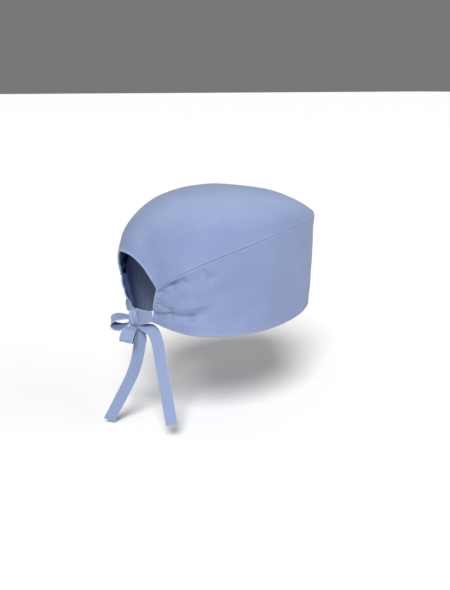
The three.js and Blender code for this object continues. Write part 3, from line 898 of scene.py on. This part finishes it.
# Paler on the pleats' ridges than in their creases: rub wear, and painted shade in the creases.
knot = lay_cloth("knot_wrap", grid, cut, KNOT_WEAR_AND_SHADE * (1 + crush), TIE_FADE, True)
close_shell(knot)
knot.data.materials.append(tie_cloth)
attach(knot, "root")
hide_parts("knot")

# ---- Stitches ------------------------------------------------------------------------------------
# Lockstitch in a thread a little lighter than the cloth, about eight stitches to the inch, half
# sunk in the cloth that it holds down.

STITCH_PITCH = 3.1 * MM
STITCH_LENGTH = 2.3 * MM
THREAD = 0.42 * MM
THREAD_RAISED = 0.12 * THREAD  # how far its middle lies above the cloth
THREAD_BLUE = (0.27, 0.335, 0.5, 1)
THREAD_SHADE = (0.2, 0.25, 0.39, 1)
THREAD_ROUGHNESS = 0.6
FIBRES = {"Scale": 2600.0, "Detail": 2.0}
FIBRE_RELIEF = {"Strength": 0.6, "Distance": 0.1 * MM}
HEM_SEWN = slice(2, -2)  # the columns of the band that the hem's stitches cross
CASING_SEWN = slice(9, -6)  # the rows that the casing's stitches cross


def sew(name, lines):
    """Rows of stitches as one piece. Each line is points on the cloth with the cloth's normals."""
    bpy.ops.object.select_all(action="DESELECT")
    bpy.ops.mesh.primitive_uv_sphere_add(segments=6, ring_count=5, radius=0.5)
    stitch = bpy.context.object
    bpy.ops.object.mode_set(mode="EDIT")
    bpy.ops.transform.resize(value=(THREAD, THREAD, STITCH_LENGTH))
    bpy.ops.object.mode_set(mode="OBJECT")
    bpy.ops.object.shade_smooth()
    copies = []
    for points, normals in lines:
        length = distances(points[:, None], 0)[:, 0]
        for place in np.arange(STITCH_PITCH / 2, length[-1] - STITCH_PITCH / 2, STITCH_PITCH):
            spots = (place, place - STITCH_LENGTH / 3, place + STITCH_LENGTH / 3)
            here, before, ahead = (
                Vector([np.interp(spot, length, points[:, k]) for k in range(3)]) for spot in spots
            )
            up = Vector([np.interp(place, length, normals[:, k]) for k in range(3)])
            turn = (ahead - before).to_track_quat("Z", "Y").to_matrix().to_4x4()
            turn.translation = here + up.normalized() * THREAD_RAISED
            copy = stitch.copy()
            copy.data = stitch.data.copy()
            copy.data.transform(turn)
            bpy.context.collection.objects.link(copy)
            copies.append(copy)
    bpy.data.objects.remove(stitch)
    for copy in copies:
        copy.select_set(True)
    bpy.context.view_layer.objects.active = copies[0]
    bpy.ops.object.join()
    seam = bpy.context.object
    seam.name = name
    seam.data.name = name
    seam.data.materials.append(thread_finish)
    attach(seam, "root")
    return seam


def row_at(grid, rise, height):
    """The points of a grid, and their normals, at one height above its first row."""
    normal = face_out(grid, False)
    place = np.array([np.interp(height, up, np.arange(len(up))) for up in rise])
    first = np.floor(place).astype(int)
    share = (place - first)[:, None]
    column = np.arange(len(grid))
    last = np.minimum(first + 1, grid.shape[1] - 1)
    points = grid[column, first] * (1 - share) + grid[column, last] * share
    return points, normal[column, first]


thread_finish = bpy.data.materials.new("ceil_blue_thread")
thread_finish.use_nodes = True
shader = thread_finish.node_tree.nodes["Principled BSDF"]
shader.inputs["Roughness"].default_value = THREAD_ROUGHNESS
wire = Wire(thread_finish.node_tree)
place = wire.node("ShaderNodeTexCoord", {}, {}, output="Object")
fibre = wire.node("ShaderNodeTexNoise", {}, {"Vector": place, **FIBRES})
colour = tint(wire, fibre, THREAD_SHADE, THREAD_BLUE)
bump = wire.node("ShaderNodeBump", {}, {"Height": fibre, **FIBRE_RELIEF})
thread_finish.node_tree.links.new(colour.socket, shader.inputs["Base Color"])
thread_finish.node_tree.links.new(bump.socket, shader.inputs["Normal"])

# Round the crown just above its seam, and then along the arch, whose columns end at the middle of
# the back and begin there again.
seam_part = np.nonzero(arch[:, 0] < 0.5)[0]
arch_part = np.nonzero(arch[:, 0] > 0.5)[0]
split = arch_part[np.diff(arch_part, prepend=-1) > 1][-1]
arch_part = np.concatenate([np.arange(split, len(arch) - 1), arch_part[arch_part < split]])
crown_lines = []
for height, part in ((SEAM_STITCH, seam_part), (ARCH_STITCH, arch_part)):
    points, normals = row_at(crown_grid, crown_rise, height * MM)
    crown_lines.append((points[part], normals[part]))
crown_stitches = sew("crown_stitches", crown_lines)

# Along the hem of the band, and up its casings.
points, normals = row_at(band_grid, distances(band_grid, 1), HEM_STITCH * MM)
band_lines = [(points[HEM_SEWN], normals[HEM_SEWN])]
upright = band_grid.transpose(1, 0, 2)
for rows, outward in ((upright, -1), (upright[:, ::-1], 1)):
    points, normals = row_at(rows, distances(rows, 1), CASING_STITCH * MM)
    band_lines.append((points[CASING_SEWN], outward * normals[CASING_SEWN]))
band_stitches = sew("band_stitches", band_lines)
for node, tie in TIES.items():
    stitches = sew(node + "_stitches", tie_seams[node])
